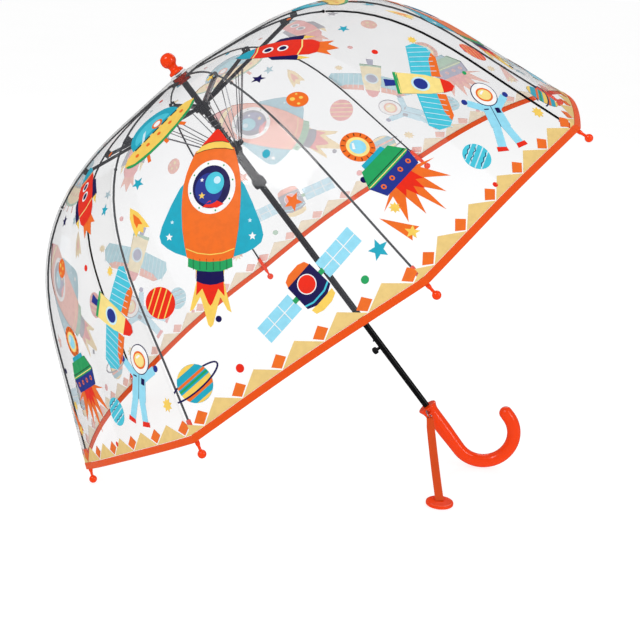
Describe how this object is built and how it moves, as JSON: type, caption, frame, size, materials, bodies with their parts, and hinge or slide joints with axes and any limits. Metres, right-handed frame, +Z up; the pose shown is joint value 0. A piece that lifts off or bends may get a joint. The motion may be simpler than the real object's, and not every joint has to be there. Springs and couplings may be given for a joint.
{
  "type": "children's umbrella",
  "caption": "Clear dome umbrella for a child with folding ribs, sliding hub and runner, push button, hooked handle and strap, resting open on two rib tips and its handle",
  "frame": {"origin": "middle of the umbrella's footprint on the floor, strap left out", "axes": "+Z up; the shaft lies in the plane y = 0, its ferrule leaning towards -X and its handle towards +X; +Y is across the canopy"},
  "size_m": [0.6148, 0.7198, 0.5708],
  "materials": {
    "clear_film": "clear soft plastic film with a slight gloss",
    "orange_plastic": "glossy moulded orange plastic",
    "orange_tape": "woven binding tape",
    "orange_ribbon": "flat woven ribbon",
    "black_metal": "black coated steel, semi-gloss",
    "black_plastic": "moulded black plastic",
    "steel": "bright plated wire",
    "milky_plastic": "milky translucent plastic"
  },
  "bodies": {
    "shaft_and_handle": {"shaft_tube": "black_metal", "ferrule": "orange_plastic", "crown_cap": "milky_plastic", "crown_notch": "black_plastic", "crown_wire": "steel", "handle": "orange_plastic", "canopy": "clear_film", "rim_binding": "orange_tape", "strap_ring": "steel", "strap": "orange_ribbon", "strap_tag": "orange_plastic"},
    "rib_1": {"upper_rib_1": "black_metal"},
    "rib_end_1": {"lower_rib_1": "black_metal", "rib_tip_1": "orange_plastic"},
    "stretcher_1": {"stretcher_1": "black_metal"},
    "link_1": {"link_1": "steel"},
    "rib_2": {"upper_rib_2": "black_metal"},
    "rib_end_2": {"lower_rib_2": "black_metal", "rib_tip_2": "orange_plastic"},
    "stretcher_2": {"stretcher_2": "black_metal"},
    "link_2": {"link_2": "steel"},
    "rib_3": {"upper_rib_3": "black_metal"},
    "rib_end_3": {"lower_rib_3": "black_metal", "rib_tip_3": "orange_plastic"},
    "stretcher_3": {"stretcher_3": "black_metal"},
    "link_3": {"link_3": "steel"},
    "rib_4": {"upper_rib_4": "black_metal"},
    "rib_end_4": {"lower_rib_4": "black_metal", "rib_tip_4": "orange_plastic"},
    "stretcher_4": {"stretcher_4": "black_metal"},
    "link_4": {"link_4": "steel"},
    "rib_5": {"upper_rib_5": "black_metal"},
    "rib_end_5": {"lower_rib_5": "black_metal", "rib_tip_5": "orange_plastic"},
    "stretcher_5": {"stretcher_5": "black_metal"},
    "link_5": {"link_5": "steel"},
    "rib_6": {"upper_rib_6": "black_metal"},
    "rib_end_6": {"lower_rib_6": "black_metal", "rib_tip_6": "orange_plastic"},
    "stretcher_6": {"stretcher_6": "black_metal"},
    "link_6": {"link_6": "steel"},
    "rib_7": {"upper_rib_7": "black_metal"},
    "rib_end_7": {"lower_rib_7": "black_metal", "rib_tip_7": "orange_plastic"},
    "stretcher_7": {"stretcher_7": "black_metal"},
    "link_7": {"link_7": "steel"},
    "rib_8": {"upper_rib_8": "black_metal"},
    "rib_end_8": {"lower_rib_8": "black_metal", "rib_tip_8": "orange_plastic"},
    "stretcher_8": {"stretcher_8": "black_metal"},
    "link_8": {"link_8": "steel"},
    "hub": {"upper_hub": "black_plastic", "hub_wire": "steel", "opening_spring": "steel"},
    "runner": {"runner": "black_plastic"},
    "button": {"button": "black_plastic", "catch_leaf": "steel"}
  },
  "joints": [
    {"name": "rib_1_fold", "type": "hinge", "parent": "shaft_and_handle", "child": "rib_1", "pos_m": [-0.15543, 0.00321, 0.4688], "axis": [-0.2938, 0.9239, -0.2452], "range_deg": [0, 74.1], "stiffness_Nm_per_rad": 0.25, "springref_deg": -68.75, "deforming": ["canopy", "rim_binding", "opening_spring"]},
    {"name": "rib_2_fold", "type": "hinge", "parent": "shaft_and_handle", "child": "rib_2", "pos_m": [-0.15892, 0.00776, 0.46589], "axis": [-0.7092, 0.3827, -0.5921], "range_deg": [0, 74.11]},
    {"name": "rib_3_fold", "type": "hinge", "parent": "shaft_and_handle", "child": "rib_3", "pos_m": [-0.16385, 0.00776, 0.46177], "axis": [-0.7092, -0.3827, -0.5921], "range_deg": [0, 74.11]},
    {"name": "rib_4_fold", "type": "hinge", "parent": "shaft_and_handle", "child": "rib_4", "pos_m": [-0.16734, 0.00321, 0.45885], "axis": [-0.2938, -0.9239, -0.2452], "range_deg": [0, 74.11]},
    {"name": "rib_5_fold", "type": "hinge", "parent": "shaft_and_handle", "child": "rib_5", "pos_m": [-0.16734, -0.00321, 0.45885], "axis": [0.2938, -0.9239, 0.2452], "range_deg": [0, 74.11]},
    {"name": "rib_6_fold", "type": "hinge", "parent": "shaft_and_handle", "child": "rib_6", "pos_m": [-0.16385, -0.00776, 0.46177], "axis": [0.7092, -0.3827, 0.5921], "range_deg": [0, 74.11]},
    {"name": "rib_7_fold", "type": "hinge", "parent": "shaft_and_handle", "child": "rib_7", "pos_m": [-0.15892, -0.00776, 0.46589], "axis": [0.7092, 0.3827, 0.5921], "range_deg": [0, 74.11]},
    {"name": "rib_8_fold", "type": "hinge", "parent": "shaft_and_handle", "child": "rib_8", "pos_m": [-0.15543, -0.00321, 0.4688], "axis": [0.2938, 0.9239, 0.2452], "range_deg": [0, 74.11]},
    {"name": "rib_1_straighten", "type": "hinge", "parent": "rib_1", "child": "rib_end_1", "pos_m": [0.00611, 0.07855, 0.5591], "axis": [-0.2938, 0.9239, -0.2452], "range_deg": [-43.02, 0]},
    {"name": "rib_2_straighten", "type": "hinge", "parent": "rib_2", "child": "rib_end_2", "pos_m": [-0.07917, 0.18963, 0.48791], "axis": [-0.7092, 0.3827, -0.5921], "range_deg": [-43.02, 0]},
    {"name": "rib_3_straighten", "type": "hinge", "parent": "rib_3", "child": "rib_end_3", "pos_m": [-0.19977, 0.18963, 0.38723], "axis": [-0.7092, -0.3827, -0.5921], "range_deg": [-43.02, 0]},
    {"name": "rib_4_straighten", "type": "hinge", "parent": "rib_4", "child": "rib_end_4", "pos_m": [-0.28504, 0.07855, 0.31604], "axis": [-0.2938, -0.9239, -0.2452], "range_deg": [-43.02, 0]},
    {"name": "rib_5_straighten", "type": "hinge", "parent": "rib_5", "child": "rib_end_5", "pos_m": [-0.28504, -0.07855, 0.31604], "axis": [0.2938, -0.9239, 0.2452], "range_deg": [-43.02, 0]},
    {"name": "rib_6_straighten", "type": "hinge", "parent": "rib_6", "child": "rib_end_6", "pos_m": [-0.19977, -0.18963, 0.38723], "axis": [0.7092, -0.3827, 0.5921], "range_deg": [-43.02, 0]},
    {"name": "rib_7_straighten", "type": "hinge", "parent": "rib_7", "child": "rib_end_7", "pos_m": [-0.07917, -0.18963, 0.48791], "axis": [0.7092, 0.3827, 0.5921], "range_deg": [-43.02, 0]},
    {"name": "rib_8_straighten", "type": "hinge", "parent": "rib_8", "child": "rib_end_8", "pos_m": [0.00611, -0.07855, 0.5591], "axis": [0.2938, 0.9239, 0.2452], "range_deg": [-43.02, 0]},
    {"name": "stretcher_1_swing", "type": "hinge", "parent": "rib_1", "child": "stretcher_1", "pos_m": [-0.0372, 0.0603, 0.54223], "axis": [-0.2938, 0.9239, -0.2452], "range_deg": [-148.22, 0]},
    {"name": "stretcher_2_swing", "type": "hinge", "parent": "rib_2", "child": "stretcher_2", "pos_m": [-0.10267, 0.14557, 0.48758], "axis": [-0.7092, 0.3827, -0.5921], "range_deg": [-148.22, 0]},
    {"name": "stretcher_3_swing", "type": "hinge", "parent": "rib_3", "child": "stretcher_3", "pos_m": [-0.19524, 0.14557, 0.41029], "axis": [-0.7092, -0.3827, -0.5921], "range_deg": [-148.22, 0]},
    {"name": "stretcher_4_swing", "type": "hinge", "parent": "rib_4", "child": "stretcher_4", "pos_m": [-0.2607, 0.0603, 0.35564], "axis": [-0.2938, -0.9239, -0.2452], "range_deg": [-148.22, 0]},
    {"name": "stretcher_5_swing", "type": "hinge", "parent": "rib_5", "child": "stretcher_5", "pos_m": [-0.2607, -0.0603, 0.35564], "axis": [0.2938, -0.9239, 0.2452], "range_deg": [-148.22, 0]},
    {"name": "stretcher_6_swing", "type": "hinge", "parent": "rib_6", "child": "stretcher_6", "pos_m": [-0.19524, -0.14557, 0.41029], "axis": [0.7092, -0.3827, 0.5921], "range_deg": [-148.22, 0]},
    {"name": "stretcher_7_swing", "type": "hinge", "parent": "rib_7", "child": "stretcher_7", "pos_m": [-0.10267, -0.14557, 0.48758], "axis": [0.7092, 0.3827, 0.5921], "range_deg": [-148.22, 0]},
    {"name": "stretcher_8_swing", "type": "hinge", "parent": "rib_8", "child": "stretcher_8", "pos_m": [-0.0372, -0.0603, 0.54223], "axis": [0.2938, 0.9239, 0.2452], "range_deg": [-148.22, 0]},
    {"name": "hub_on_stretcher", "type": "hinge", "parent": "stretcher_1", "child": "hub", "pos_m": [-0.13056, 0.00321, 0.43902], "axis": [-0.2938, 0.9239, -0.2452], "range_deg": [0, 74.11]},
    {"name": "runner_slide", "type": "slide", "parent": "hub", "child": "runner", "axis": [-0.6409, 0, 0.7677], "range_m": [0, 0.03234]},
    {"name": "link_1_swing", "type": "hinge", "parent": "runner", "child": "link_1", "pos_m": [-0.08811, 0.00478, 0.39408], "axis": [-0.2938, 0.9239, -0.2452], "range_deg": [-35.52, 0]},
    {"name": "link_2_swing", "type": "hinge", "parent": "runner", "child": "link_2", "pos_m": [-0.09331, 0.01155, 0.38974], "axis": [-0.7092, 0.3827, -0.5921], "range_deg": [-35.52, 0]},
    {"name": "link_3_swing", "type": "hinge", "parent": "runner", "child": "link_3", "pos_m": [-0.10065, 0.01155, 0.38361], "axis": [-0.7092, -0.3827, -0.5921], "range_deg": [-35.52, 0]},
    {"name": "link_4_swing", "type": "hinge", "parent": "runner", "child": "link_4", "pos_m": [-0.10585, 0.00478, 0.37928], "axis": [-0.2938, -0.9239, -0.2452], "range_deg": [-35.52, 0]},
    {"name": "link_5_swing", "type": "hinge", "parent": "runner", "child": "link_5", "pos_m": [-0.10585, -0.00478, 0.37928], "axis": [0.2938, -0.9239, 0.2452], "range_deg": [-35.52, 0]},
    {"name": "link_6_swing", "type": "hinge", "parent": "runner", "child": "link_6", "pos_m": [-0.10065, -0.01155, 0.38361], "axis": [0.7092, -0.3827, 0.5921], "range_deg": [-35.52, 0]},
    {"name": "link_7_swing", "type": "hinge", "parent": "runner", "child": "link_7", "pos_m": [-0.09331, -0.01155, 0.38974], "axis": [0.7092, 0.3827, 0.5921], "range_deg": [-35.52, 0]},
    {"name": "link_8_swing", "type": "hinge", "parent": "runner", "child": "link_8", "pos_m": [-0.08811, -0.00478, 0.39408], "axis": [0.2938, 0.9239, 0.2452], "range_deg": [-35.52, 0]},
    {"name": "button_press", "type": "slide", "parent": "shaft_and_handle", "child": "button", "axis": [0.7677, 0, 0.6409], "range_m": [0, 0.0024], "stiffness_N_per_m": 400, "springref_m": -0.001}
  ],
  "couplings": [
    {"joint": "rib_2_fold", "follows": "rib_1_fold", "ratio": 1},
    {"joint": "rib_3_fold", "follows": "rib_1_fold", "ratio": 1},
    {"joint": "rib_4_fold", "follows": "rib_1_fold", "ratio": 1},
    {"joint": "rib_5_fold", "follows": "rib_1_fold", "ratio": 1},
    {"joint": "rib_6_fold", "follows": "rib_1_fold", "ratio": 1},
    {"joint": "rib_7_fold", "follows": "rib_1_fold", "ratio": 1},
    {"joint": "rib_8_fold", "follows": "rib_1_fold", "ratio": 1},
    {"joint": "rib_1_straighten", "follows": "rib_1_fold", "ratio": -0.58035},
    {"joint": "rib_2_straighten", "follows": "rib_1_fold", "ratio": -0.58035},
    {"joint": "rib_3_straighten", "follows": "rib_1_fold", "ratio": -0.58035},
    {"joint": "rib_4_straighten", "follows": "rib_1_fold", "ratio": -0.58035},
    {"joint": "rib_5_straighten", "follows": "rib_1_fold", "ratio": -0.58035},
    {"joint": "rib_6_straighten", "follows": "rib_1_fold", "ratio": -0.58035},
    {"joint": "rib_7_straighten", "follows": "rib_1_fold", "ratio": -0.58035},
    {"joint": "rib_8_straighten", "follows": "rib_1_fold", "ratio": -0.58035},
    {"joint": "stretcher_1_swing", "follows": "rib_1_fold", "ratio": -2},
    {"joint": "stretcher_2_swing", "follows": "rib_1_fold", "ratio": -2},
    {"joint": "stretcher_3_swing", "follows": "rib_1_fold", "ratio": -2},
    {"joint": "stretcher_4_swing", "follows": "rib_1_fold", "ratio": -2},
    {"joint": "stretcher_5_swing", "follows": "rib_1_fold", "ratio": -2},
    {"joint": "stretcher_6_swing", "follows": "rib_1_fold", "ratio": -2},
    {"joint": "stretcher_7_swing", "follows": "rib_1_fold", "ratio": -2},
    {"joint": "stretcher_8_swing", "follows": "rib_1_fold", "ratio": -2},
    {"joint": "hub_on_stretcher", "follows": "rib_1_fold", "ratio": 1},
    {"joint": "runner_slide", "follows": "rib_1_fold", "m_per_rad": 0.025006},
    {"joint": "link_1_swing", "follows": "rib_1_fold", "ratio": -0.47926},
    {"joint": "link_2_swing", "follows": "rib_1_fold", "ratio": -0.47926},
    {"joint": "link_3_swing", "follows": "rib_1_fold", "ratio": -0.47926},
    {"joint": "link_4_swing", "follows": "rib_1_fold", "ratio": -0.47926},
    {"joint": "link_5_swing", "follows": "rib_1_fold", "ratio": -0.47926},
    {"joint": "link_6_swing", "follows": "rib_1_fold", "ratio": -0.47926},
    {"joint": "link_7_swing", "follows": "rib_1_fold", "ratio": -0.47926},
    {"joint": "link_8_swing", "follows": "rib_1_fold", "ratio": -0.47926}
  ]
}
